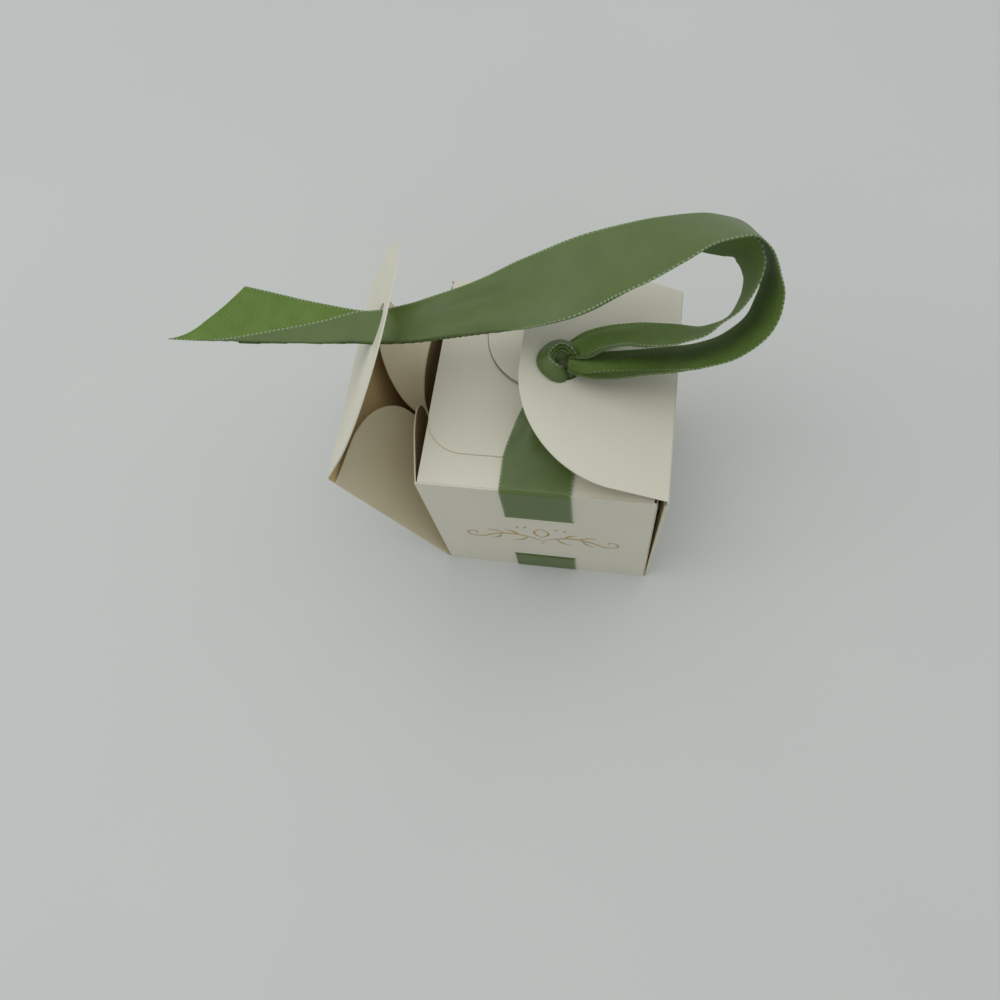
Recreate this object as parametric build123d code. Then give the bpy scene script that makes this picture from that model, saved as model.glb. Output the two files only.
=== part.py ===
from build123d import *
import math
import os

os.makedirs("parts", exist_ok=True)

# Driving dimensions, in millimetres and degrees
box_width = 50.0
box_depth = 50.8
box_height = 50.2
card = 0.3
crease_gap = 0.05
web_gap = 0.12
web_drop = 1.6
web_margin = 0.4
web_corner = 15.2
diagonal_gap = 0.1
left_lean = 22.0
right_lean = 1.44
left_web_turn = 11.1
right_web_turn = 0.6
left_wall_extra = 0.6
right_wall_extra = 0.7
round_flap_length = 34.0
round_flap_margin = 0.4
round_flap_corner = 22.0
flap_hole = 8.8
flap_hole_reach = 25.4
left_flap_tilt = 28.0
right_flap_rise = 21.0
dust_flap_length = 43.0
dust_flap_side = 0.4
dust_flap_corner = 8.6
dust_flap_step = 0.1
tab_radius = 14.5
tab_length = 4.3
tab_setback = 8.1
tab_slit = 0.2
tab_rise = 3.0
ribbon_width = 15.0
ribbon_card = 0.25
ribbon_play = 0.25
ribbon_x = 0.3
slit_high = 35.0
slit_low = 9.0
slit_height = 0.7
knot_ring = 2.6
knot_tube = 1.5
knot_lift = 0.1
knot_play = 0.03
lip_play = 0.25
strand_width = 6.4
strand_spread = 1.5
tail_spread = 0.6
tail_bunch = 7.4

# Values that follow from the driving dimensions
half_width = box_width / 2
half_depth = box_depth / 2
inner_y = half_depth - card
web_axis_x = half_width + crease_gap
side_axis_x = web_axis_x + 2 * card + web_gap
back_top = box_height + card + dust_flap_step
lip_y = inner_y - dust_flap_length
web_height = box_height - web_drop
web_width = half_depth - web_margin
left_wall_length = box_height + left_wall_extra
right_wall_length = box_height + right_wall_extra
round_flap_half_width = half_depth - round_flap_margin
tab_root_y = inner_y - tab_setback
tab_centre_y = tab_root_y - tab_length
dust_half = half_width - dust_flap_side


def unit_side(side, lean):
    """Direction up a side wall that leans out by an angle."""
    turn = math.radians(lean)
    return Vector(side * math.sin(turn), 0, math.cos(turn))


def inward_side(side, lean):
    """Direction into the box, square to a leaning side wall."""
    turn = math.radians(lean)
    return Vector(-side * math.cos(turn), 0, math.sin(turn))


def plate(sketch, origin, along, away, thick):
    """A flat sheet of card: its sketch lies in the along and away directions."""
    place = Plane(origin=origin, x_dir=along, z_dir=along.cross(away))
    return extrude(place * sketch, amount=card, dir=thick)


def save(name, solid):
    """One named piece in one file."""
    export_step(solid, "parts/" + name + ".step")


# Bottom panel, with a shallow pressed channel under it for the ribbon
channel_half = ribbon_width / 2 + ribbon_play
bottom_half = side_axis_x - crease_gap
channel_low = ribbon_card
bottom_outline = [
    (-bottom_half, 0),
    (ribbon_x - channel_half - card, 0),
    (ribbon_x - channel_half - card, channel_low),
    (ribbon_x + channel_half + card, channel_low),
    (ribbon_x + channel_half + card, 0),
    (bottom_half, 0),
    (bottom_half, card),
    (ribbon_x + channel_half + 2 * card, card),
    (ribbon_x + channel_half + 2 * card, channel_low + card),
    (ribbon_x - channel_half - 2 * card, channel_low + card),
    (ribbon_x - channel_half - 2 * card, card),
    (-bottom_half, card),
]
bottom_face = make_face(Polyline(*bottom_outline, close=True))
bottom_plane = Plane(origin=(0, inner_y, 0), x_dir=(1, 0, 0), z_dir=(0, -1, 0))
bottom_panel = extrude(bottom_plane * bottom_face, amount=2 * inner_y, dir=(0, -1, 0))
save("bottom_panel", bottom_panel)

# Front wall, with two slits for the ribbon and a notch under it
slot_width = ribbon_width + 2 * ribbon_play
front_wall = Pos(0, -half_depth + card / 2, box_height / 2) * Box(box_width, card, box_height)
for slit_z in (slit_high, slit_low):
    front_wall -= Pos(ribbon_x, -half_depth, slit_z) * Box(slot_width, 4 * card, slit_height)
wall_notch = Box(slot_width, 4 * card, 2 * ribbon_card)
front_wall -= Pos(ribbon_x, -half_depth, 0) * wall_notch
save("front_wall", front_wall)

# Back wall, taller by one thickness so that its flap lies over the front flap
back_wall = Pos(0, half_depth - card / 2, back_top / 2) * Box(box_width, card, back_top)
back_wall -= Pos(ribbon_x, half_depth, 0) * wall_notch
save("back_wall", back_wall)

# Side walls, each one leaning out about its bottom crease
side_depth = 2 * inner_y


def side_wall(side, lean, length):
    """A side wall from its bottom crease to its top crease."""
    up = unit_side(side, lean)
    inward = inward_side(side, lean)
    origin = Vector(side * side_axis_x, 0, card)
    reach = length - 2 * crease_gap
    sketch = Pos(0, crease_gap + reach / 2) * Rectangle(side_depth, reach)
    along = up.cross(inward * -1)
    return plate(sketch, origin, along, up, inward * -1)


save("left_wall", side_wall(-1, left_lean, left_wall_length))
save("right_wall", side_wall(1, right_lean, right_wall_length))

# Corner gussets: each one is two half webs that meet at a slanting crease
diagonal = diagonal_gap * math.sqrt(2)
straight_end = web_width - web_corner
web_lines = [
    Polyline(
        (web_height - web_corner, web_width),
        (web_width + diagonal, web_width),
        (crease_gap + diagonal, crease_gap),
        (web_height, crease_gap),
        (web_height, straight_end),
    ),
    CenterArc((web_height - web_corner, straight_end), web_corner, 0, 90),
]
web_face = make_face(web_lines)


def web_on_end(side, end, turn):
    """The half web that hangs on the upright edge of the front or back wall."""
    angle = math.radians(turn)
    away = Vector(side * math.sin(angle), -end * math.cos(angle), 0)
    trough = Vector(side * math.cos(angle), end * math.sin(angle), 0)
    origin = Vector(side * web_axis_x, end * inner_y, card)
    return plate(web_face, origin, Vector(0, 0, 1), away, trough)


def web_on_side(side, end, lean, turn):
    """The half web that hangs on the upright edge of a side wall."""
    angle = math.radians(turn)
    inward = inward_side(side, lean)
    across = Vector(0, -end, 0)
    away = across * math.cos(angle) + inward * math.sin(angle)
    trough = inward * math.cos(angle) - across * math.sin(angle)
    origin = Vector(side * side_axis_x, end * inner_y, card)
    return plate(web_face, origin, unit_side(side, lean), away, trough)


for side, side_name, lean, turn in (
    (-1, "left", left_lean, left_web_turn),
    (1, "right", right_lean, right_web_turn),
):
    for end, end_name in ((-1, "front"), (1, "back")):
        corner_name = end_name + "_" + side_name
        save("web_" + corner_name + "_end", web_on_end(side, end, turn))
        save("web_" + corner_name + "_side", web_on_side(side, end, lean, turn))

# Front dust flap, creased on the top of the front wall
flap_reach = dust_flap_length - crease_gap
dust_box = Rectangle(2 * dust_half, flap_reach)
dust_shape = fillet(dust_box.vertices().group_by(Axis.Y)[-1], dust_flap_corner)
front_flap_y = -inner_y + crease_gap + flap_reach / 2
front_flap = extrude(Pos(0, front_flap_y, box_height - card) * dust_shape, amount=card)
save("front_dust_flap", front_flap)

# Back dust flap, over the front one, with a U-shaped cut for its tuck tab
tab_shape = Pos(0, tab_centre_y) * Circle(tab_radius)
tab_shape += Pos(0, tab_centre_y + tab_length / 2) * Rectangle(2 * tab_radius, tab_length)
tab_keep = Pos(0, tab_root_y - 2 * tab_radius) * Rectangle(3 * tab_radius, 4 * tab_radius)
tab_shape = tab_shape & tab_keep
cut_radius = tab_radius + tab_slit
cut_shape = Pos(0, tab_centre_y) * Circle(cut_radius)
cut_shape += Pos(0, tab_centre_y + tab_length / 2) * Rectangle(2 * cut_radius, tab_length)
cut_shape = cut_shape & tab_keep
back_flap_y = inner_y - flap_reach / 2
back_sketch = Pos(0, back_flap_y) * (Rot(0, 0, 180) * dust_shape) - cut_shape
back_flap = extrude(Pos(0, 0, back_top - card) * back_sketch, amount=card)
save("back_dust_flap", back_flap)

# Tuck tab, standing a little proud of the back dust flap
tab_trim = Pos(0, tab_root_y) * Rectangle(4 * tab_radius, 2 * crease_gap)
tab_flat = extrude(Pos(0, 0, back_top - card) * (tab_shape - tab_trim), amount=card)
tab_axis = Axis((0, tab_root_y, back_top), (-1, 0, 0))
save("tuck_tab", tab_flat.rotate(tab_axis, tab_rise))

# Round flaps, each one creased on the top of a side wall and punched once
flap_size = round_flap_length - crease_gap
flap_box = Rectangle(2 * round_flap_half_width, flap_size)
flap_shape = fillet(flap_box.vertices().group_by(Axis.Y)[-1], round_flap_corner)
flap_sketch = Pos(0, crease_gap + flap_size / 2) * flap_shape
flap_sketch -= Pos(0, flap_hole_reach) * Circle(flap_hole / 2)


def top_crease(side, lean, length):
    """Middle of the crease at the top of a side wall."""
    return Vector(side * side_axis_x, 0, card) + unit_side(side, lean) * length


tilt = math.radians(left_flap_tilt)
left_crease = top_crease(-1, left_lean, left_wall_length)
left_away = Vector(math.sin(tilt), 0, math.cos(tilt))
left_outward = Vector(-math.cos(tilt), 0, math.sin(tilt))
left_along = left_away.cross(left_outward)
save("left_round_flap", plate(flap_sketch, left_crease, left_along, left_away, left_outward))

rise = math.radians(right_flap_rise)
right_crease = top_crease(1, right_lean, right_wall_length)
right_away = Vector(-math.cos(rise), 0, math.sin(rise))
right_outward = Vector(math.sin(rise), 0, math.cos(rise))
right_along = right_away.cross(right_outward)
save("right_round_flap", plate(flap_sketch, right_crease, right_along, right_away, right_outward))

left_hole = left_crease + left_away * flap_hole_reach
right_hole = right_crease + right_away * flap_hole_reach

# Ribbon round the box: flat stretches on the front, under the bottom and up the back
band_y = half_depth + ribbon_card / 2
upper_low = slit_high + ribbon_card / 2
upper_top = box_height
upper_size = upper_top - upper_low
front_upper = Pos(ribbon_x, -band_y, upper_low + upper_size / 2)
save("ribbon_front_upper", front_upper * Box(ribbon_width, ribbon_card, upper_size))

lower_top = slit_low - ribbon_card / 2
lower_size = lower_top - ribbon_card
front_lower = Pos(ribbon_x, -band_y, ribbon_card + lower_size / 2)
save("ribbon_front_lower", front_lower * Box(ribbon_width, ribbon_card, lower_size))

inside_y = -inner_y + ribbon_card / 2
inside_size = slit_high - slit_low + ribbon_card
inside_mid = (slit_high + slit_low) / 2
front_inner = Pos(ribbon_x, inside_y, inside_mid) * Box(ribbon_width, ribbon_card, inside_size)
pass_size = half_depth + ribbon_card - inner_y
pass_y = -inner_y - pass_size / 2
for pass_z in (slit_high, slit_low):
    front_inner += Pos(ribbon_x, pass_y, pass_z) * Box(ribbon_width, pass_size, ribbon_card)
save("ribbon_front_inner", front_inner)

bottom_size = box_depth + 2 * ribbon_card
bottom_band = Pos(ribbon_x, 0, ribbon_card / 2) * Box(ribbon_width, bottom_size, ribbon_card)
save("ribbon_bottom", bottom_band)

back_size = back_top - ribbon_card
back_band = Pos(ribbon_x, band_y, ribbon_card + back_size / 2)
save("ribbon_back", back_band * Box(ribbon_width, ribbon_card, back_size))


def ribbon_frames(stations):
    """Middle, heading, across and face directions at each station of a band."""
    frames = []
    last = len(stations) - 1
    for i, (x, y, z, roll, width) in enumerate(stations):
        before = Vector(*stations[max(i - 1, 0)][:3])
        after = Vector(*stations[min(i + 1, last)][:3])
        heading = (after - before).normalized()
        level = heading.cross(Vector(0, 0, 1)).normalized()
        lift = level.cross(heading)
        angle = math.radians(roll)
        across = level * math.cos(angle) + lift * math.sin(angle)
        face = lift * math.cos(angle) - level * math.sin(angle)
        frames.append((Vector(x, y, z), across, face, width))
    return frames


def band(frames):
    """A thin band that runs through the given frames, straight from one to the next."""
    sections = []
    for middle, across, face, width in frames:
        side = across * (width / 2)
        thick = face * (ribbon_card / 2)
        corners = [
            middle - side - thick,
            middle + side - thick,
            middle + side + thick,
            middle - side + thick,
        ]
        sections.append(make_face(Polyline(*corners, close=True)))
    return loft(sections, ruled=True)


def slant_frame(back, front):
    """The slanting cut at the end of a tail, from its back corner to its front corner."""
    reach = front - back
    return ((back + front) * 0.5, reach.normalized(), Vector(0, 0, -1), reach.length)


def split_band(stations, cuts, names, end_frame):
    """Neighbouring stretches of one band, which share the section where they meet."""
    frames = ribbon_frames(stations) + [end_frame]
    ends = [0] + cuts + [len(frames) - 1]
    for name, first, last in zip(names, ends[:-1], ends[1:]):
        save(name, band(frames[first : last + 1]))


# Ribbon over the top: from the front edge and the back edge up through the right hole
strand_end = right_hole + right_outward * (card + knot_lift - knot_play)


def climb(edge, hole_end, shares):
    """Stations between the edge of the box and the hole, as shares of the way in x, y and z."""
    way = hole_end - edge
    rows = []
    for share_x, share_y, share_z, width in shares:
        row = (edge.X + share_x * way.X, edge.Y + share_y * way.Y, edge.Z + share_z * way.Z)
        rows.append(row + (0, width))
    return rows


front_edge = Vector(ribbon_x, -half_depth - ribbon_card, box_height + ribbon_card / 2)
front_end = strand_end - Vector(0, strand_spread, 0)
lip_z = back_top + ribbon_card / 2 + lip_play
lip_middle = (front_edge + Vector(ribbon_x, lip_y, lip_z)) * 0.5
front_route = [
    (front_edge.X, front_edge.Y, front_edge.Z, 0, ribbon_width),
    (lip_middle.X, lip_middle.Y, lip_middle.Z, 0, ribbon_width),
    (ribbon_x, lip_y, lip_z, 0, ribbon_width),
]
front_shares = [(0.19, 0.586, 0.22, 13.5), (0.47, 0.764, 0.43, 11.5), (0.75, 0.905, 0.675, 8.6)]
front_route += climb(front_edge, front_end, front_shares)
front_strand = (front_end, right_away * -1, Vector(0, -1, 0), strand_width)
split_band(front_route, [3], ["ribbon_top_front", "ribbon_rise_front"], front_strand)

back_edge = Vector(ribbon_x, half_depth + ribbon_card, back_top + ribbon_card / 2)
back_end = strand_end + Vector(0, strand_spread, 0)
back_shares = [
    (0.0, 0.0, 0.0, 15.0),
    (0.0, 0.19, 0.03, 15.0),
    (0.06, 0.38, 0.1, 14.6),
    (0.19, 0.586, 0.23, 13.5),
    (0.47, 0.764, 0.43, 11.5),
    (0.75, 0.905, 0.66, 8.6),
]
back_route = climb(back_edge, back_end, back_shares)
back_strand = (back_end, right_away, Vector(0, 1, 0), strand_width)
split_band(back_route, [3], ["ribbon_top_back", "ribbon_rise_back"], back_strand)

# Knot, a plain ring-shaped lump that lies on the right flap over its hole
knot_middle = right_hole + right_outward * (card + knot_lift + knot_tube)
knot_plane = Plane(origin=knot_middle, z_dir=right_outward)
knot_profile = Pos(knot_ring, 0) * RegularPolygon(knot_tube, 8, major_radius=False, rotation=22.5)
save("ribbon_knot", knot_plane * revolve(Plane.XZ * knot_profile, Axis.Z))


def tail_route(from_right, from_left):
    """Stations of a tail, measured from the hole in the right flap and from that in the left flap."""
    rows = []
    for hole, points in ((right_hole, from_right), (left_hole, from_left)):
        for x, y, z, roll, width in points:
            rows.append((hole.X + x, hole.Y + y, hole.Z + z, roll, width))
    return rows


# Tails: each one turns over in a loop on the right and runs through the left hole
outer_from_right = [
    (4.8, -1.0, 1.3, 14, 8.0),
    (9.2, -0.8, 1.0, 20, 10.0),
    (16.2, 1.0, 0.3, 30, 12.5),
    (22.7, 2.1, 0.4, 37, 14.5),
    (28.0, 2.8, 1.4, 39, 15.0),
    (32.7, 4.0, 3.2, 40, 15.0),
    (36.5, 6.1, 5.7, 46, 15.0),
    (38.7, 8.5, 8.7, 60, 15.0),
    (39.6, 11.5, 11.9, 82, 15.0),
    (38.3, 14.6, 15.3, 108, 15.0),
    (35.7, 16.7, 18.1, 128, 15.0),
    (32.4, 17.7, 20.1, 141, 15.0),
    (28.3, 17.2, 21.5, 151, 15.0),
    (23.7, 15.8, 22.1, 160, 15.0),
    (18.5, 14.1, 21.9, 168, 15.0),
    (12.8, 12.2, 20.9, 175, 15.0),
    (6.5, 10.3, 19.4, 181, 15.0),
    (-0.2, 8.3, 17.5, 184, 15.0),
]
outer_from_left = [
    (28.9, 6.2, 5.8, 183, 14.5),
    (21.5, 4.1, 3.7, 181, 13.0),
    (14.0, 2.5, 2.1, 182, 10.5),
    (7.1, 1.2, 1.1, 184, 8.5),
    (0.0, 0.0, tail_spread, 185, tail_bunch),
    (-5.1, -0.2, 0.4, 184, 9.0),
    (-11.1, -0.2, 0.1, 183, 10.6),
    (-17.6, 0.0, -0.3, 182, 12.2),
    (-24.1, 0.1, -0.7, 181, 13.4),
]
outer_cut = slant_frame(left_hole + Vector(-29.1, 7.3, -1.1), left_hole + Vector(-42.1, -6.0, -1.4))
outer_route = tail_route(outer_from_right, outer_from_left)
outer_names = ["outer_tail_start", "outer_tail_loop", "outer_tail_span", "outer_tail_end"]
split_band(outer_route, [3, 7, 20], outer_names, outer_cut)

inner_from_right = [
    (4.3, 2.2, 1.7, 10, 8.0),
    (7.5, 3.8, 3.2, 26, 10.0),
    (11.7, 4.6, 3.9, 33, 13.0),
    (16.7, 5.0, 3.9, 37, 14.5),
    (22.7, 5.3, 4.3, 42, 15.0),
    (27.0, 5.6, 5.0, 50, 15.0),
    (30.2, 6.8, 6.3, 60, 15.0),
    (32.7, 8.6, 7.9, 68, 15.0),
    (34.4, 10.8, 9.7, 74, 15.0),
    (34.9, 13.2, 11.5, 82, 15.0),
    (33.7, 15.3, 13.2, 94, 15.0),
    (31.0, 16.3, 14.7, 106, 15.0),
    (27.4, 16.1, 15.9, 118, 15.0),
    (23.5, 15.0, 16.7, 134, 15.0),
    (18.5, 13.5, 17.4, 152, 15.0),
    (12.8, 11.9, 17.6, 166, 15.0),
    (6.5, 10.1, 16.9, 177, 15.0),
    (-0.2, 8.2, 15.4, 182, 14.5),
]
inner_from_left = [
    (28.9, 6.2, 3.9, 182, 14.0),
    (21.5, 4.1, 2.0, 181, 12.5),
    (14.0, 2.5, 0.6, 182, 10.0),
    (7.1, 1.2, -0.2, 184, 8.0),
    (0.0, 0.0, -tail_spread, 185, tail_bunch),
    (-5.1, -0.7, -0.9, 184, 7.8),
    (-11.1, -1.4, -1.3, 183, 8.4),
    (-17.6, -2.2, -1.7, 182, 8.8),
]
inner_cut = slant_frame(left_hole + Vector(-23.1, 1.8, -2.1), left_hole + Vector(-33.1, -6.6, -2.5))
inner_route = tail_route(inner_from_right, inner_from_left)
inner_names = ["inner_tail_start", "inner_tail_loop", "inner_tail_span", "inner_tail_end"]
split_band(inner_route, [3, 8, 20], inner_names, inner_cut)
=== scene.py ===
import math

import bpy
from mathutils import Matrix, Vector


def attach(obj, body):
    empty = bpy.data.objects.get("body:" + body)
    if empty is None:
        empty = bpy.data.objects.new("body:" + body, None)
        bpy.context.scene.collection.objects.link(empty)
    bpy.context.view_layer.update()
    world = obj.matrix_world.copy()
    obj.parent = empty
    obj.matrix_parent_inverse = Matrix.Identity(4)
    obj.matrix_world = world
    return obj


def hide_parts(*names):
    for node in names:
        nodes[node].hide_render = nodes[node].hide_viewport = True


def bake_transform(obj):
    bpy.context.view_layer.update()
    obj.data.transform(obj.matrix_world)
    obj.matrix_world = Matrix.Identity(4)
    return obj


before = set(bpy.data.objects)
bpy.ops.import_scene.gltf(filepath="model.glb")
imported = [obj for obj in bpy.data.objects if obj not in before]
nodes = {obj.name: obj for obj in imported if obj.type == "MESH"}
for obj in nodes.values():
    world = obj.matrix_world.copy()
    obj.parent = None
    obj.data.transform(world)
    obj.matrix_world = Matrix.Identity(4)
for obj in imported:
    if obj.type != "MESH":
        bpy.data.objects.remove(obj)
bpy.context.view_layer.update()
scene = bpy.context.scene
scene.view_settings.view_transform = "Standard"

# The camera looks steeply down on the box from in front, a little to its right,
# and is turned about its own line of sight, as a hand-held phone is.
MM = 0.001
camera_azimuth = math.radians(22.53)
camera_elevation = math.radians(67.45)
camera_roll = math.radians(-15.76)
camera_place = Vector((18.2, -87.1, 205.8)) * MM
camera_lens = 29.58
camera_back = Vector(
    (
        math.sin(camera_azimuth) * math.cos(camera_elevation),
        -math.cos(camera_azimuth) * math.cos(camera_elevation),
        math.sin(camera_elevation),
    )
)
level_right = (-camera_back).cross(Vector((0, 0, 1))).normalized()
level_up = level_right.cross(-camera_back)
camera_x = level_right * math.cos(camera_roll) + level_up * math.sin(camera_roll)
camera_y = level_up * math.cos(camera_roll) - level_right * math.sin(camera_roll)
bpy.ops.object.select_all(action="DESELECT")
bpy.ops.object.camera_add()
camera = bpy.context.object
camera.name = "photo_camera"
camera.data.lens = camera_lens
camera.data.sensor_width = 36.0
camera.data.clip_start = 0.01
camera.matrix_world = Matrix(
    (
        (camera_x.x, camera_y.x, camera_back.x, camera_place.x),
        (camera_x.y, camera_y.y, camera_back.y, camera_place.y),
        (camera_x.z, camera_y.z, camera_back.z, camera_place.z),
        (0, 0, 0, 1),
    )
)
scene.camera = camera


# The floor is a smooth pale grey-white table top. It is painted board,
# matt, with a faint cloudiness and nothing printed on it.
def linear(hex_text):
    """A written sRGB colour as the linear values that the shader takes."""
    parts = [int(hex_text[i : i + 2], 16) / 255 for i in (1, 3, 5)]
    out = [c / 12.92 if c <= 0.04045 else ((c + 0.055) / 1.055) ** 2.4 for c in parts]
    return (*out, 1.0)


def add_node(tree, kind, inputs=None, **settings):
    """One shader node: settings are its own fields, inputs are values or other nodes' sockets."""
    node = tree.nodes.new(kind)
    for field, value in settings.items():
        setattr(node, field, value)
    for key, value in (inputs or {}).items():
        if isinstance(value, bpy.types.NodeSocket):
            tree.links.new(value, node.inputs[key])
        else:
            node.inputs[key].default_value = value
    return node


def new_material(name):
    """An empty node material with its surface shader."""
    material = bpy.data.materials.new(name)
    material.use_nodes = True
    return material, material.node_tree, material.node_tree.nodes["Principled BSDF"]


floor_size = 3.0
floor_cloud_mm = 120.0
bpy.ops.mesh.primitive_plane_add(size=floor_size, location=(0, 0, 0))
floor = bpy.context.object
floor.name = "pale_floor"
floor_paint, tree, shader = new_material("matt_white_board")
place = add_node(tree, "ShaderNodeTexCoord")
cloud = add_node(
    tree,
    "ShaderNodeTexNoise",
    {"Vector": place.outputs["Object"], "Scale": 1000 / floor_cloud_mm, "Detail": 3.0},
)
tint = add_node(
    tree,
    "ShaderNodeMix",
    {0: cloud.outputs["Fac"], 6: linear("#BBBEBA"), 7: linear("#C2C5C0")},
    data_type="RGBA",
)
tree.links.new(tint.outputs[2], shader.inputs["Base Color"])
shader.inputs["Roughness"].default_value = 0.6
floor.data.materials.append(floor_paint)

# The light is plain soft room light: an even pale sky all round, a very broad lamp overhead
# and behind, and two weak ones, so shadows are faint and the front wall is a little darker.
world = scene.world or bpy.data.worlds.new("World")
scene.world = world
world.use_nodes = True
sky = world.node_tree.nodes["Background"]
sky.inputs["Color"].default_value = linear("#FAFBFF")
sky.inputs["Strength"].default_value = 0.6


def soft_lamp(name, spot, aim, size, power):
    """A square area lamp at a spot, turned to a point."""
    bpy.ops.object.light_add(type="AREA", location=spot)
    lamp = bpy.context.object
    lamp.name = name
    lamp.data.size = size
    lamp.data.energy = power
    lamp.rotation_euler = (Vector(aim) - Vector(spot)).to_track_quat("-Z", "Y").to_euler()


soft_lamp("top_lamp", spot=(0.0, 0.4, 1.2), aim=(0, 0, 0.03), size=1.8, power=6.0)
soft_lamp("key_lamp", spot=(-0.2, -0.16, 0.9), aim=(0, 0, 0.03), size=0.45, power=0.9)
soft_lamp("side_lamp", spot=(-0.75, -0.12, 0.42), aim=(0, 0, 0.06), size=0.5, power=0.8)


# The box is one sheet of pearl ivory card, 0.3 mm thick, die-cut, creased and folded.
# Each panel is a CAD node. The coated side has a faint pearl sheen; the faces turned into the box are
# painted a darker, warmer cream as painted shade and warm bounce light.
# The card's fibres are drawn coarser than real ones, so that a little tooth shows.
card_fibre_mm = 0.5
card_tooth_mm = 0.05
card_cloud_mm = 14.0
card_tints = ("#CCCAB7", "#D3D1BF")
# The webs' tints are painted shade: a slightly warmer, darker ivory than the card's own.
web_shade_tints = ("#CAC2A4", "#D1C9AE")


def pearl_card(name, inside, outer_low, outer_high):
    """Coated card: ivory on the outside; the side that faces the given way gets painted shade, a darker
    warm cream.
    """
    material, tree, shader = new_material(name)
    place = add_node(tree, "ShaderNodeTexCoord")
    spot = place.outputs["Object"]
    facing = add_node(
        tree,
        "ShaderNodeVectorMath",
        {0: place.outputs["Normal"], 1: Vector(inside).normalized()},
        operation="DOT_PRODUCT",
    )
    inner = add_node(
        tree,
        "ShaderNodeMapRange",
        {"Value": facing.outputs["Value"], "From Min": 0.6, "From Max": 0.8},
    )
    cloud = add_node(
        tree, "ShaderNodeTexNoise", {"Vector": spot, "Scale": 1000 / card_cloud_mm, "Detail": 4.0}
    )
    outer_tint = add_node(
        tree,
        "ShaderNodeMix",
        {0: cloud.outputs["Fac"], 6: linear(outer_low), 7: linear(outer_high)},
        data_type="RGBA",
    )
    # Painted shade: the faces turned into the box are drawn a darker, warmer cream, for the shade and
    # warm bounce light inside it.
    inner_shade_tint = add_node(
        tree,
        "ShaderNodeMix",
        {0: cloud.outputs["Fac"], 6: linear("#C4AB78"), 7: linear("#CDB788")},
        data_type="RGBA",
    )
    tint = add_node(
        tree,
        "ShaderNodeMix",
        {0: inner.outputs["Result"], 6: outer_tint.outputs[2], 7: inner_shade_tint.outputs[2]},
        data_type="RGBA",
    )
    tree.links.new(tint.outputs[2], shader.inputs["Base Color"])
    fibre = add_node(
        tree, "ShaderNodeTexNoise", {"Vector": spot, "Scale": 1000 / card_fibre_mm, "Detail": 5.0}
    )
    rough = add_node(
        tree,
        "ShaderNodeMapRange",
        {"Value": fibre.outputs["Fac"], "To Min": 0.4, "To Max": 0.56},
    )
    tree.links.new(rough.outputs["Result"], shader.inputs["Roughness"])
    grain = add_node(
        tree,
        "ShaderNodeBump",
        {"Height": fibre.outputs["Fac"], "Strength": 0.12, "Distance": card_tooth_mm * MM},
    )
    tree.links.new(grain.outputs["Normal"], shader.inputs["Normal"])
    shader.inputs["IOR"].default_value = 1.46
    shader.inputs["Coat Weight"].default_value = 0.12
    shader.inputs["Coat Roughness"].default_value = 0.4
    return material


left_lean = math.radians(22.0)
right_lean = math.radians(1.44)
left_tilt = math.radians(28.0)
right_rise = math.radians(21.0)
left_inward = (math.cos(left_lean), 0, math.sin(left_lean))
right_inward = (-math.cos(right_lean), 0, math.sin(right_lean))
card_insides = {
    "bottom_panel": (0, 0, 1),
    "front_wall": (0, 1, 0),
    "back_wall": (0, -1, 0),
    "left_wall": left_inward,
    "right_wall": right_inward,
    "front_dust_flap": (0, 0, -1),
    "back_dust_flap": (0, 0, -1),
    "tuck_tab": (0, 0, -1),
    "left_round_flap": (math.cos(left_tilt), 0, -math.sin(left_tilt)),
    "right_round_flap": (-math.sin(right_rise), 0, -math.cos(right_rise)),
}
for side, side_name, inward in ((-1, "left", left_inward), (1, "right", right_inward)):
    for end_name in ("front", "back"):
        card_insides["web_" + end_name + "_" + side_name + "_end"] = (-side, 0, 0)
        outward = (-inward[0], -inward[1], -inward[2])
        card_insides["web_" + end_name + "_" + side_name + "_side"] = outward
# The folded webs are painted a little warmer and darker than the rest: painted shade and warm light
# bounced between their two halves.
for node_name, inside in card_insides.items():
    panel = nodes[node_name]
    panel.data.materials.clear()
    tints = web_shade_tints if node_name.startswith("web") else card_tints
    panel.data.materials.append(pearl_card("pearl_card_" + node_name, inside, *tints))


# A gold foil flourish is hot-stamped on the front wall between the two slits.
# It is a plain pair of scrolls with leaves and dots, much thinner than the card.
# Foil has a soft and uneven glint, because it follows the tooth of the card.
foil_x = 0.3
foil_y = -25.42
foil_flat = 0.08
foil_cloud_mm = 3.0
foil_weld_mm = 0.001
stroke_half = 0.3
dot_half = 0.4
foil, tree, shader = new_material("gold_foil")
place = add_node(tree, "ShaderNodeTexCoord")
cloud = add_node(
    tree,
    "ShaderNodeTexNoise",
    {"Vector": place.outputs["Object"], "Scale": 1000 / foil_cloud_mm, "Detail": 3.0},
)
foil_tint = add_node(
    tree,
    "ShaderNodeMix",
    {0: cloud.outputs["Fac"], 6: linear("#B08F52"), 7: linear("#D2B47A")},
    data_type="RGBA",
)
tree.links.new(foil_tint.outputs[2], shader.inputs["Base Color"])
foil_rough = add_node(
    tree,
    "ShaderNodeMapRange",
    {"Value": cloud.outputs["Fac"], "To Min": 0.3, "To Max": 0.5},
)
tree.links.new(foil_rough.outputs["Result"], shader.inputs["Roughness"])
shader.inputs["Metallic"].default_value = 0.6

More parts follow.
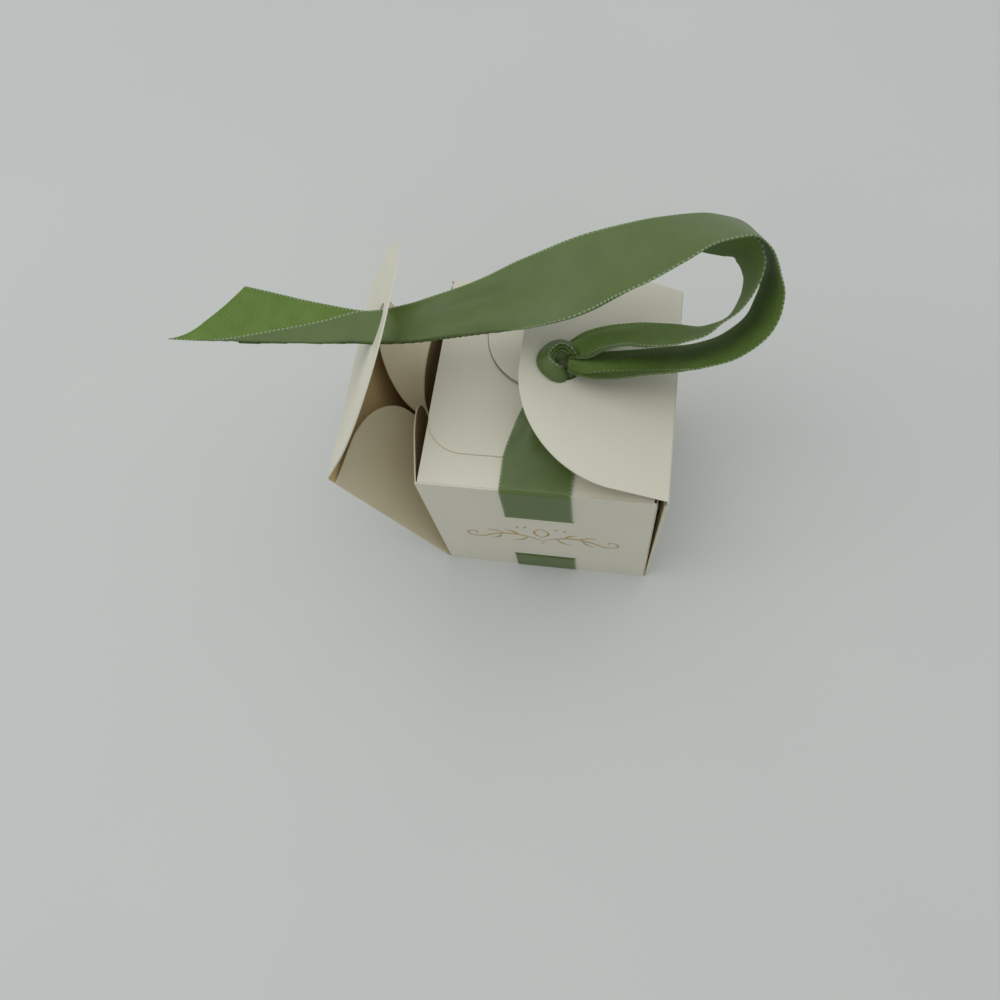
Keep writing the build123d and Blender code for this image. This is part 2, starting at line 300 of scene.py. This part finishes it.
# Each point of a stroke is x, z and swell. The strokes are drawn for one half and mirrored.
stroke_lines = [
    [(0.0, 20.6, 0.3), (3.2, 22.6, 0.9), (7.5, 23.8, 1.3), (11.8, 22.2, 1.0), (15.0, 20.0, 0.8),
     (17.6, 20.9, 0.8), (17.4, 23.0, 0.7), (15.7, 23.2, 0.6), (15.6, 21.9, 0.4)],
    [(5.2, 23.2, 0.3), (6.3, 25.0, 1.2), (8.6, 26.6, 0.3)],
    [(8.6, 23.7, 0.3), (10.6, 25.0, 1.1), (12.8, 25.3, 0.3)],
    [(9.6, 23.1, 0.3), (10.4, 20.8, 1.1), (12.2, 19.4, 0.3)],
    [(3.4, 22.7, 0.3), (4.6, 20.4, 1.1), (6.9, 19.2, 0.3)],
    [(0.0, 22.8, 0.3), (1.6, 25.2, 1.0), (1.3, 27.2, 0.7), (0.0, 28.6, 0.3)],
]
bpy.ops.object.select_all(action="DESELECT")
strokes = []
for hand in (-1, 1):
    for line in stroke_lines:
        bpy.ops.curve.primitive_bezier_curve_add(location=(0, 0, 0))
        stroke = bpy.context.object
        stroke.data.bevel_depth = stroke_half * MM
        stroke.data.bevel_resolution = 2
        stroke.data.resolution_u = 8
        stroke.data.use_fill_caps = True
        spline = stroke.data.splines[0]
        spline.bezier_points.add(len(line) - 2)
        for point, (x, z, swell) in zip(spline.bezier_points, line):
            point.co = (hand * x * MM, 0, z * MM)
            point.handle_left_type = "AUTO"
            point.handle_right_type = "AUTO"
            point.radius = swell
        strokes.append(stroke)
for x, z in ((-5.5, 28.4), (-3.6, 28.9), (3.6, 28.9), (5.5, 28.4), (0.0, 19.0)):
    bpy.ops.mesh.primitive_uv_sphere_add(
        segments=16, ring_count=8, radius=dot_half * MM, location=(x * MM, 0, z * MM)
    )
    strokes.append(bpy.context.object)
bpy.ops.object.select_all(action="DESELECT")
for stroke in strokes:
    stroke.select_set(True)
bpy.context.view_layer.objects.active = strokes[0]
bpy.ops.object.convert(target="MESH")
bpy.ops.object.join()
flourish = bpy.context.object
flourish.name = "gold_flourish"
bpy.ops.object.transform_apply(location=True, rotation=True, scale=True)
bpy.ops.object.mode_set(mode="EDIT")
bpy.ops.mesh.select_all(action="SELECT")
bpy.ops.mesh.remove_doubles(threshold=foil_weld_mm * MM)
bpy.ops.mesh.normals_make_consistent(inside=False)
bpy.ops.object.mode_set(mode="OBJECT")
flourish.scale = (1, foil_flat, 1)
flourish.location = (foil_x * MM, foil_y * MM, 0)
bpy.ops.object.transform_apply(location=True, rotation=True, scale=True)
bpy.ops.object.shade_smooth()
flourish.data.materials.clear()
flourish.data.materials.append(foil)
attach(flourish, "base")


# The ribbon is one length of woven green ribbon, 15 mm wide, with a looped selvage. One side is
# smooth satin with a soft gleam, the other has crosswise ribs and is duller. The ribs, the satin's
# twill and the loops are drawn a little coarser than real ones, so that they show.
ribbon_half = 7.5
ribbon_thick = 0.25
rib_pitch_mm = 0.55
twill_pitch_mm = 0.45
ridge_mm = 0.08
slubs_per_mm = 0.22
selvage_mm = 0.42
selvage_soft_mm = 0.14
picot_pitch_mm = 0.85
picot_mm = 0.05
glow_mm = 0.8


def ribbon_cloth(name, low_hex, high_hex, pitch_mm, slant, ridge, rough, gloss):
    """Woven ribbon: ridges of a given pitch across the band, and a row of small loops at each edge."""
    material, tree, shader = new_material(name)
    weave = add_node(tree, "ShaderNodeUVMap", uv_map="weave_mm")
    split = add_node(tree, "ShaderNodeSeparateXYZ", {0: weave.outputs["UV"]})
    across = split.outputs["X"]
    along = split.outputs["Y"]
    lean = add_node(tree, "ShaderNodeMath", {0: across, 1: slant, 2: along}, operation="MULTIPLY_ADD")
    turn = add_node(
        tree, "ShaderNodeMath", {0: lean.outputs[0], 1: 2 * math.pi / pitch_mm}, operation="MULTIPLY"
    )
    ridges = add_node(tree, "ShaderNodeMath", {0: turn.outputs[0]}, operation="SINE")
    height = add_node(
        tree,
        "ShaderNodeMapRange",
        {"Value": ridges.outputs[0], "From Min": -1.0, "From Max": 1.0},
    )
    fuzz = add_node(
        tree,
        "ShaderNodeTexNoise",
        {"Vector": weave.outputs["UV"], "Scale": slubs_per_mm, "Detail": 4.0},
    )
    # Painted shade: the grooves of the ribs and twill get the darker colour and the ridges the lighter
    # one; the slubs add an uneven tone of the yarn.
    share = add_node(
        tree,
        "ShaderNodeMath",
        {0: height.outputs["Result"], 1: 0.45, 2: fuzz.outputs["Fac"]},
        operation="MULTIPLY_ADD",
    )
    thread = add_node(
        tree,
        "ShaderNodeMapRange",
        {"Value": share.outputs[0], "From Min": 0.25, "From Max": 1.3},
    )
    cloth = add_node(
        tree,
        "ShaderNodeMix",
        {0: thread.outputs["Result"], 6: linear(low_hex), 7: linear(high_hex)},
        data_type="RGBA",
    )
    edge = add_node(tree, "ShaderNodeMath", {0: across}, operation="ABSOLUTE")
    selvage = add_node(
        tree,
        "ShaderNodeMapRange",
        {
            "Value": edge.outputs[0],
            "From Min": ribbon_half - selvage_mm,
            "From Max": ribbon_half - selvage_mm + selvage_soft_mm,
        },
    )
    loop_turn = add_node(
        tree, "ShaderNodeMath", {0: along, 1: 2 * math.pi / picot_pitch_mm}, operation="MULTIPLY"
    )
    loops = add_node(tree, "ShaderNodeMath", {0: loop_turn.outputs[0]}, operation="SINE")
    loop_share = add_node(
        tree,
        "ShaderNodeMapRange",
        {"Value": loops.outputs[0], "From Min": -0.4, "From Max": 0.5},
    )
    stitch = add_node(
        tree,
        "ShaderNodeMix",
        {0: loop_share.outputs["Result"], 6: linear("#52653A"), 7: linear("#84956C")},
        data_type="RGBA",
    )
    tint = add_node(
        tree,
        "ShaderNodeMix",
        {0: selvage.outputs["Result"], 6: cloth.outputs[2], 7: stitch.outputs[2]},
        data_type="RGBA",
    )
    tree.links.new(tint.outputs[2], shader.inputs["Base Color"])
    grain = add_node(
        tree,
        "ShaderNodeBump",
        {"Height": height.outputs["Result"], "Strength": ridge, "Distance": ridge_mm * MM},
    )
    tree.links.new(grain.outputs["Normal"], shader.inputs["Normal"])
    shader.inputs["Roughness"].default_value = rough
    shader.inputs["Specular IOR Level"].default_value = gloss
    # Thin cloth lets some light through, so its shaded folds glow a little.
    shader.inputs["Subsurface Weight"].default_value = 0.4
    shader.inputs["Subsurface Radius"].default_value = (0.7, 1.0, 0.4)
    shader.inputs["Subsurface Scale"].default_value = glow_mm * MM
    shader.inputs["IOR"].default_value = 1.5
    return material


satin_side = ribbon_cloth(
    "woven_satin", "#4D612C", "#5A6F37", twill_pitch_mm, slant=0.7, ridge=0.1, rough=0.4, gloss=0.4
)
ribbed_side = ribbon_cloth(
    "woven_grosgrain", "#526A2B", "#6B8540", rib_pitch_mm, slant=0.22, ridge=0.35, rough=0.66, gloss=0.2
)
gather_ease = 0.05
plain_fold_lie = 0.4


def smooth_rows(rows, step_mm):
    """Rows of numbers on a smooth curve through the given rows, about one step apart."""
    out = []
    last = len(rows) - 1
    for i in range(last):
        before = rows[max(i - 1, 0)]
        start = rows[i]
        stop = rows[i + 1]
        after = rows[min(i + 2, last)]
        gap = (Vector(stop[:3]) - Vector(start[:3])).length
        count = max(1, round(gap / step_mm))
        for k in range(count):
            t = k / count
            out.append(
                [
                    b + 0.5 * t * (c - a + t * (2 * a - 5 * b + 4 * c - d + t * (3 * (b - c) + d - a)))
                    for a, b, c, d in zip(before, start, stop, after)
                ]
            )
    out.append(list(rows[-1]))
    return out


def rolled_frames(rows):
    """Middle, across, face and the rest at each row: x, y, z, roll in degrees, width, and more."""
    frames = []
    last = len(rows) - 1
    for i, row in enumerate(rows):
        ahead = Vector(rows[min(i + 1, last)][:3]) - Vector(rows[max(i - 1, 0)][:3])
        heading = ahead.normalized()
        level = heading.cross(Vector((0, 0, 1))).normalized()
        lift = level.cross(heading)
        roll = math.radians(row[3])
        across = level * math.cos(roll) + lift * math.sin(roll)
        face = lift * math.cos(roll) - level * math.sin(roll)
        frames.append((Vector(row[:3]), across, face, row[4:]))
    return frames


def gathered(q, woven, width, folds, phase):
    """Where a thread lies across a gathered band: the band keeps its woven width in soft folds."""
    share = min(1.0, width / woven)
    ease = min(1.0, (1 - share) / gather_ease)
    wave = 2 * math.pi * folds / woven
    depth = math.sqrt(2 * (1 - share * share)) / wave
    return q * share, ease * depth * math.cos(wave * q + phase)


def band_grid(frames, profile, columns, runs, reach):
    """Where each thread passes each frame, in mm, and how far along the ribbon that is."""
    last = len(frames) - 1
    grid = []
    lengths = []
    for i in range(last + 1):
        row = []
        row_lengths = []
        for q in columns:
            spot = i * (reach(q) if reach else 1.0)
            low = min(int(spot), last - 1)
            part = spot - low
            middle, across, face, rest = frames[low]
            next_middle, next_across, next_face, next_rest = frames[low + 1]
            sizes = [a + (b - a) * part for a, b in zip(rest, next_rest)]
            x, y = profile(q, *sizes)
            point = middle.lerp(next_middle, part)
            row.append(point + across.lerp(next_across, part) * x + face.lerp(next_face, part) * y)
            row_lengths.append(runs[low] + (runs[low + 1] - runs[low]) * part)
        grid.append(row)
        lengths.append(row_lengths)
    return grid, lengths


def band_points(grid, lengths):
    """The points of the band's two sides in metres, with the small loops along both edges."""
    last_row = len(grid) - 1
    last_thread = len(grid[0]) - 1
    points = []
    for side in (-1, 1):
        for i, row in enumerate(grid):
            for k, point in enumerate(row):
                wide = row[min(k + 1, last_thread)] - row[max(k - 1, 0)]
                long = grid[min(i + 1, last_row)][k] - grid[max(i - 1, 0)][k]
                normal = wide.cross(long).normalized()
                loop = 0.0
                if k in (0, last_thread):
                    loop = picot_mm * math.sin(2 * math.pi * lengths[i][k] / picot_pitch_mm)
                outward = wide.normalized() * (loop if k else -loop)
                points.append((point + outward + normal * (side * ribbon_thick / 2)) * MM)
    return points


def band_faces(rows, threads):
    """The faces of a closed band, and for each one whether it is satin, ribbed or on the rim."""
    count = rows * threads
    last = rows - 1
    faces = []
    sides = []
    for i in range(last):
        for k in range(threads - 1):
            a = i * threads + k
            b = a + 1
            c = b + threads
            d = a + threads
            faces.append((a, d, c, b))
            sides.append("satin")
            faces.append((a + count, b + count, c + count, d + count))
            sides.append("ribbed")
        for k in (0, threads - 1):
            a = i * threads + k
            d = a + threads
            ring = (a, a + count, d + count, d)
            faces.append(ring if k == 0 else ring[::-1])
            sides.append("rim")
    for k in range(threads - 1):
        for i in (0, last):
            a = i * threads + k
            ring = (a, a + 1, a + 1 + count, a + count)
            faces.append(ring if i == 0 else ring[::-1])
            sides.append("rim")
    return faces, sides


def band_sheet(name, frames, profile, start_mm=0.0, threads=17, reach=None):
    """A closed woven band: profile gives each thread's place across it, reach where each thread ends."""
    columns = [ribbon_half * (2 * k / (threads - 1) - 1) for k in range(threads)]
    runs = [start_mm]
    for here, ahead in zip(frames, frames[1:]):
        runs.append(runs[-1] + (ahead[0] - here[0]).length)
    grid, lengths = band_grid(frames, profile, columns, runs, reach)
    faces, sides = band_faces(len(grid), threads)
    count = len(grid) * threads
    mesh = bpy.data.meshes.new(name)
    mesh.from_pydata(band_points(grid, lengths), [], faces)
    weave = mesh.uv_layers.new(name="weave_mm")
    rims = set()
    for polygon, side in zip(mesh.polygons, sides):
        polygon.material_index = 1 if side == "ribbed" else 0
        polygon.use_smooth = True
        if side == "rim":
            rims.update(tuple(sorted(key)) for key in polygon.edge_keys)
        for corner in polygon.loop_indices:
            v = mesh.loops[corner].vertex_index % count
            weave.data[corner].uv = (columns[v % threads], lengths[v // threads][v % threads])
    for edge in mesh.edges:
        edge.use_edge_sharp = tuple(sorted(edge.vertices)) in rims
    mesh.materials.append(satin_side)
    mesh.materials.append(ribbed_side)
    mesh.update()
    piece = bpy.data.objects.new(name, mesh)
    scene.collection.objects.link(piece)
    return piece, runs[-1] - runs[0]


def plain_profile(q, width):
    """A flat band, which falls into soft folds where it is drawn narrower than it is woven."""
    x, y = gathered(q, 2 * ribbon_half, width, folds=2.0, phase=0.6)
    return x, plain_fold_lie * y


# The ribbon goes down the front in two showing stretches. Between them it passes
# through two slits and lies flat behind the wall, so it is threaded, not glued.
# Each row of a stretch is x, y, z and the band's width, in mm.
ribbon_x = 0.3
step_mm = 0.42


def level_frames(rows, flip):
    """Frames of a stretch that lies level from side to side. A flip of -1 turns the other side out."""
    frames = []
    last = len(rows) - 1
    for i, row in enumerate(rows):
        ahead = Vector(rows[min(i + 1, last)][:3]) - Vector(rows[max(i - 1, 0)][:3])
        across = Vector((flip, 0, 0))
        face = across.cross(ahead).normalized()
        frames.append((Vector(row[:3]), across, face, row[3:]))
    return frames


inside_rows = [
    (ribbon_x, -25.5, 35.0, 15),
    (ribbon_x, -25.1, 35.0, 15),
    (ribbon_x, -24.93, 34.6, 15),
    (ribbon_x, -24.93, 28.0, 15),
    (ribbon_x, -24.93, 16.0, 15),
    (ribbon_x, -24.93, 9.4, 15),
    (ribbon_x, -25.1, 9.0, 15),
    (ribbon_x, -25.5, 9.0, 15),
]
inside_frames = level_frames(smooth_rows(inside_rows, step_mm), 1)
inside, run = band_sheet("ribbon_inside", inside_frames, plain_profile)
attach(inside, "base")
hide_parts("ribbon_front_inner")


# The upper stretch comes out of the top slit and turns in over the front dust flap.
# It is the same band, pulled flat by the knot, and it narrows on its way to the hole.
def nearest_frame(frames, row):
    """The number of the frame that lies nearest to the place of a row."""
    target = Vector(row[:3])
    return min(range(len(frames)), key=lambda i: (frames[i][0] - target).length)


def cut_frames(rows, cut):
    """Frames of a level stretch that is cut in two at one of its rows."""
    frames = level_frames(smooth_rows(rows, step_mm), -1)
    mark = nearest_frame(frames, rows[cut])
    return frames[: mark + 1], frames[mark:]


over_cut = 8
over_rows = [
    (ribbon_x, -25.45, 35.25, 15),
    (ribbon_x, -25.58, 35.7, 15),
    (ribbon_x, -25.58, 41.0, 15),
    (ribbon_x, -25.6, 49.4, 15),
    (ribbon_x, -25.45, 50.2, 15),
    (ribbon_x, -24.9, 50.55, 15),
    (ribbon_x, -21.8, 50.68, 15),
    (ribbon_x, -17.9, 51.0, 15),
    (0.9, -11.5, 51.9, 13.5),
    (1.8, -7.2, 54.2, 11.5),
    (2.7, -3.8, 57.3, 8.6),
    (3.4, -1.6, 60.5, 6.2),
]
over_frames, front_rise_frames = cut_frames(over_rows, over_cut)
over, run = band_sheet("ribbon_front_over", over_frames, plain_profile)
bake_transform(over)
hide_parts("ribbon_front_upper", "ribbon_top_front")

# Under the box the ribbon lies in a pressed channel, and then it goes up the back wall.
# It is drawn tight, so it stays flat on the card and folds sharply at each edge.
wrap_rows = [
    (ribbon_x, -25.45, 8.75, 15),
    (ribbon_x, -25.58, 8.3, 15),
    (ribbon_x, -25.58, 4.0, 15),
    (ribbon_x, -25.56, 0.6, 15),
    (ribbon_x, -25.35, 0.2, 15),
    (ribbon_x, -24.8, 0.13, 15),
    (ribbon_x, -12.0, 0.13, 15),
    (ribbon_x, 12.0, 0.13, 15),
    (ribbon_x, 24.8, 0.13, 15),
    (ribbon_x, 25.35, 0.2, 15),
    (ribbon_x, 25.56, 0.6, 15),
    (ribbon_x, 25.58, 10.0, 15),
    (ribbon_x, 25.58, 40.0, 15),
    (ribbon_x, 25.6, 49.6, 15),
    (ribbon_x, 25.5, 50.5, 15),
]
wrap_frames = level_frames(smooth_rows(wrap_rows, step_mm), 1)
wrap, run = band_sheet("ribbon_wrap", wrap_frames, plain_profile)
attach(wrap, "base")
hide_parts("ribbon_front_lower", "ribbon_bottom", "ribbon_back")

# From the back wall the ribbon turns in over the back dust flap. It is the same band,
# pulled flat by the knot, and it narrows on its way to the same hole.
back_cut = 4
back_rows = [
    (ribbon_x, 25.5, 50.5, 15),
    (ribbon_x, 25.1, 50.88, 15),
    (ribbon_x, 21.0, 51.03, 15),
    (0.5, 16.5, 51.5, 14.6),
    (0.9, 11.5, 52.1, 13.5),
    (1.8, 7.2, 54.3, 11.5),
    (2.7, 3.8, 57.3, 8.6),
    (3.4, 1.6, 60.5, 6.2),
]
back_frames, back_rise_frames = cut_frames(back_rows, back_cut)
top_back, run = band_sheet("ribbon_back_over", back_frames, plain_profile)
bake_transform(top_back)
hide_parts("ribbon_top_back")

# From both sides the ribbon gathers and goes up through the hole in the right flap.
# The two strands lie face to face in the hole, under the knot.
for end_name, frames, low, high in (
    ("front", front_rise_frames, over_rows[over_cut], over_rows[-1]),
    ("back", back_rise_frames, back_rows[back_cut], back_rows[-1]),
):
    rise, run = band_sheet("ribbon_" + end_name + "_rise", frames, plain_profile)
    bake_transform(rise)
    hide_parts("ribbon_rise_" + end_name)

# The two tails leave the knot, turn over together in one loop on the right and run back
# over the box to the hole in the left flap. Where a tail is drawn into a hole its front edge is
# folded over lengthwise: each row is x, y, z, roll, width, folded width and angle of that fold.
outer_rows = [
    (5.0, -1.3, 61.9, 8, 4.6, 2.0, 170),
    (8.1, -1.3, 61.8, 12, 7.5, 3.0, 172),
    (12.5, -0.9, 61.4, 20, 9.6, 3.8, 172),
    (19.5, 0.8, 60.7, 30, 11.6, 2.6, 165),
    (26.0, 2.0, 60.7, 37, 14.0, 1.0, 150),
    (31.3, 2.8, 61.7, 39, 15.0, 0.2, 120),
    (36.0, 4.0, 63.5, 40, 15.0, 0.0, 90),
    (39.7, 6.0, 66.0, 46, 15.0, 0.0, 60),
    (41.7, 8.4, 69.0, 60, 15.0, 0.0, 30),
    (42.4, 11.5, 72.3, 81, 15.0, 0.0, 0),
    (41.6, 14.8, 75.8, 106, 15.0, 0.0, 0),
    (39.5, 17.1, 78.9, 126, 15.0, 0.0, 0),
    (36.2, 18.2, 81.0, 139, 15.0, 0.0, 0),
    (31.9, 17.6, 82.1, 147, 15.0, 0.0, 0),
    (27.0, 16.1, 82.4, 153, 15.0, 0.0, 0),
    (21.8, 13.7, 82.0, 164, 15.0, 0.0, 0),
    (16.1, 11.3, 81.0, 175, 15.0, 0.0, 0),
    (9.8, 9.2, 79.5, 184, 15.0, 0.0, 0),
    (3.1, 6.6, 77.6, 193, 14.7, 0.0, 90),
    (-4.0, 4.8, 75.5, 190, 14.0, 0.0, 170),
    (-11.4, 3.3, 73.4, 187, 11.5, 0.8, 170),
    (-18.9, 2.0, 71.6, 185, 9.9, 3.6, 170),
    (-25.8, 0.6, 70.4, 184, 8.9, 6.0, 170),
    (-32.9, -0.5, 69.8, 185, 7.6, 7.4, 173),
    (-38.0, -0.6, 69.7, 184, 7.8, 7.8, 174),
    (-44.0, -0.5, 69.7, 183, 9.5, 9.4, 172),
    (-50.5, -0.2, 69.7, 182, 11.1, 11.0, 170),
    (-57.0, 0.2, 69.8, 181, 12.7, 12.6, 169),
    (-64.0, 0.6, 69.8, 180, 14.2, 14.2, 168),
    (-70.0, 0.8, 69.7, 180, 14.9, 14.9, 172),
    (-77.0, 0.9, 69.5, 180, 15.0, 15.0, 175),
]
inner_rows = [
    (4.6, 1.2, 62.8, 6, 4.6, 2.0, 170),
    (7.6, 2.2, 62.9, 10, 7.5, 3.0, 170),
    (10.8, 3.6, 63.6, 24, 9.6, 3.0, 165),
    (15.0, 4.6, 64.2, 33, 12.0, 1.8, 160),
    (20.0, 5.0, 64.2, 37, 14.2, 0.8, 150),
    (26.0, 5.3, 64.6, 42, 15.0, 0.0, 120),
    (30.3, 5.6, 65.3, 50, 15.0, 0.0, 90),
    (33.5, 6.8, 66.6, 60, 15.0, 0.0, 60),
    (36.1, 8.5, 68.3, 67, 15.0, 0.0, 30),
    (37.8, 10.9, 70.4, 75, 15.0, 0.0, 0),
    (38.5, 13.7, 72.8, 83, 15.0, 0.0, 0),
    (37.9, 16.0, 74.7, 96, 15.0, 0.0, 0),
    (36.0, 17.4, 76.2, 111, 15.0, 0.0, 0),
    (31.6, 17.2, 77.4, 117, 15.0, 0.0, 0),
    (26.8, 16.0, 78.2, 130, 15.0, 0.0, 0),
    (21.8, 14.5, 78.6, 148, 15.0, 0.0, 0),
    (16.1, 12.5, 78.5, 167, 15.0, 0.0, 0),
    (9.8, 10.2, 77.5, 182, 15.0, 0.0, 0),
    (3.1, 7.5, 75.7, 192, 14.3, 0.0, 90),
    (-4.0, 5.6, 73.7, 189, 13.5, 0.0, 170),
    (-11.4, 3.9, 71.8, 187, 11.0, 0.8, 170),
    (-18.9, 2.5, 70.0, 185, 9.5, 3.6, 170),
    (-25.8, 1.0, 69.0, 184, 8.6, 6.0, 170),
    (-32.9, -0.1, 68.4, 185, 7.4, 7.4, 173),
    (-38.0, -0.1, 68.3, 184, 7.8, 7.8, 174),
    (-44.0, -0.3, 68.3, 183, 8.4, 8.4, 173),
    (-50.5, -0.5, 68.3, 182, 8.8, 8.8, 172),
    (-58.0, -0.8, 68.3, 182, 9.4, 9.4, 171),
    (-68.0, -1.2, 68.4, 182, 10.0, 10.0, 171),
]
fold_round = 0.35
fold_lie = 0.5
wave_lie = 0.45
edge_curl = 0.03


def folded_profile(q, width, folded, angle):
    """A band whose front edge is turned over on its ribbed side along a rounded fold."""
    folded = min(max(folded, 0.0), 2 * ribbon_half)
    angle = math.radians(min(max(angle, 0.0), 180.0))
    crease = ribbon_half - folded
    past = q - crease
    soft = 0.5 * (math.sqrt(past * past + fold_round * fold_round) + past)
    flat = past - soft
    x = flat + soft * math.cos(angle)
    y = fold_lie * soft * math.sin(angle)
    flat_part = 2 * ribbon_half - folded
    ahead = max(folded * math.cos(angle), 0.0)
    behind = max(flat_part, -folded * math.cos(angle))
    seen = ahead + behind
    shown = min(1.0, width / seen)
    base = x - (ahead - behind) / 2
    gather_x, gather_y = gathered(base, seen, seen * shown, folds=1.5, phase=0.9)
    curl = max(past - ribbon_half, 0.0)
    return gather_x, y + wave_lie * gather_y - edge_curl * curl * curl


cut_slant = 0.74
cut_hook = 12


def slanted_cut(begin_x, finish_x, back_x, tip_x):
    """How far each thread of a tail reaches: the end is cut on a slant, shortest at the folded edge."""

    def reach(q):
        """The share of the stretch that one thread covers."""
        share = (ribbon_half - q) / (2 * ribbon_half)
        slant = cut_slant * share + (1 - cut_slant) * share**cut_hook
        return (begin_x - back_x - (tip_x - back_x) * slant) / (begin_x - finish_x)

    return reach


# Where the span's slack begins, and where the end passes the hole of the left flap.
tail_threads = 33
slack_x = 10.0
before_hole_x = -26.2
past_hole_x = -37.0
tail_stretches = (
    ("start", "right_flap", "right_wall"),
    ("loop", "right_wall", "base"),
    ("span", "base", "left_wall"),
    ("end", "left_wall", "left_flap"),
)


def tail_pieces(tail, rows, cuts, back_x, tip_x):
    """The four stretches of one tail, each of which runs between two neighbouring panels."""
    frames = rolled_frames(smooth_rows(rows, step_mm))
    marks = [0]
    for cut in cuts:
        marks.append(nearest_frame(frames, rows[cut]))
    marks.append(len(frames) - 1)
    run_start = 0.0
    for (part, body_a, body_b), first, last in zip(tail_stretches, marks, marks[1:]):
        begin = frames[first][0]
        finish = frames[last][0]
        reach = slanted_cut(begin.x, finish.x, back_x, tip_x) if part == "end" else None
        name = "ribbon_" + tail + "_" + part
        stretch = frames[first : last + 1]
        piece, run = band_sheet(name, stretch, folded_profile, run_start, tail_threads, reach)
        run_start += run
        if part == "end":
            run = begin.x - (back_x + tip_x) / 2
            finish = Vector((past_hole_x, 0.0, finish.z))
            begin = Vector((before_hole_x, 0.0, begin.z))
        if part == "span":
            begin = Vector((slack_x, 0.0, begin.z))
        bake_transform(piece)
        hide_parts(tail + "_tail_" + part)


tail_pieces("outer", outer_rows, cuts=(4, 8, 22), back_x=-63.6, tip_x=-76.2)
tail_pieces("inner", inner_rows, cuts=(4, 9, 22), back_x=-57.0, tip_x=-66.6)

# The knot is the ribbon tied once on itself over the hole. A crushed ring of pleated ribbon
# goes round the hole, and one strand goes down through its middle.
hole_right = Vector((3.34, 0.0, 60.28))
knot_normal = Vector((math.sin(right_rise), 0, math.cos(right_rise)))
knot_side = Vector((math.cos(right_rise), 0, -math.sin(right_rise)))
knot_depth = Vector((0, 1, 0))
knot_shift_side = 0.7
knot_shift_front = 0.9
knot_middle = hole_right - knot_side * knot_shift_side - knot_depth * knot_shift_front
knot_step = 9.0
knot_threads = 61
pleat_count = 4
pleat_wide = 3.4
pleat_high = 1.5
pleat_bulge = 0.35


def pleated(q, size):
    """The band pressed into narrow pleats that lie on one another, the satin on top."""
    pleats = pleat_count * (q + ribbon_half) / (2 * ribbon_half)
    back_and_forth = abs((pleats + 1) % 2 - 1)
    bulge = pleat_bulge * math.cos(math.pi * (back_and_forth - 0.5))
    x = size * pleat_wide * (back_and_forth - 0.5)
    y = size * (pleat_high * q / (2 * ribbon_half) + bulge)
    return x, y


def knot_strand(name, rows, size):
    """A pleated strand: each row is an angle round the hole, a distance, a height and an outward lean."""
    spots = []
    for angle, spread, height, lean in smooth_rows(rows, knot_step):
        spoke = knot_side * math.cos(math.radians(angle)) + knot_depth * math.sin(math.radians(angle))
        tilt = math.radians(lean)
        across = spoke * math.cos(tilt) - knot_normal * math.sin(tilt)
        spots.append((knot_middle + spoke * spread + knot_normal * height, across))
    frames = []
    last = len(spots) - 1
    for i, (spot, across) in enumerate(spots):
        ahead = (spots[min(i + 1, last)][0] - spots[max(i - 1, 0)][0]).normalized()
        across = (across - ahead * across.dot(ahead)).normalized()
        frames.append((spot, across, across.cross(ahead), (size,)))
    return band_sheet(name, frames, pleated, threads=knot_threads)


ring_rows = [
    (-12, 4.8, 1.2, 5),
    (18, 4.1, 2.2, 15),
    (55, 3.3, 2.8, 30),
    (100, 3.3, 2.4, 42),
    (145, 3.0, 2.2, 48),
    (190, 3.3, 1.8, 48),
    (235, 2.9, 1.7, 40),
    (270, 2.7, 1.2, 25),
    (300, 2.3, 0.4, 10),
    (325, 1.8, -0.6, 0),
]
ring, run = knot_strand("ribbon_knot_ring", ring_rows, size=0.95)
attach(ring, "right_flap")
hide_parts("ribbon_knot")

strand_rows = [
    (12, 6.2, 0.8, -20),
    (26, 4.4, 1.1, -30),
    (48, 2.8, 1.3, -40),
    (80, 1.9, 1.2, -45),
    (130, 1.6, 0.8, -45),
    (180, 1.6, 0.2, -40),
    (215, 1.6, -0.6, -30),
    (230, 1.6, -1.2, -25),
]
strand, run = knot_strand("ribbon_knot_strand", strand_rows, size=0.8)
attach(strand, "right_flap")
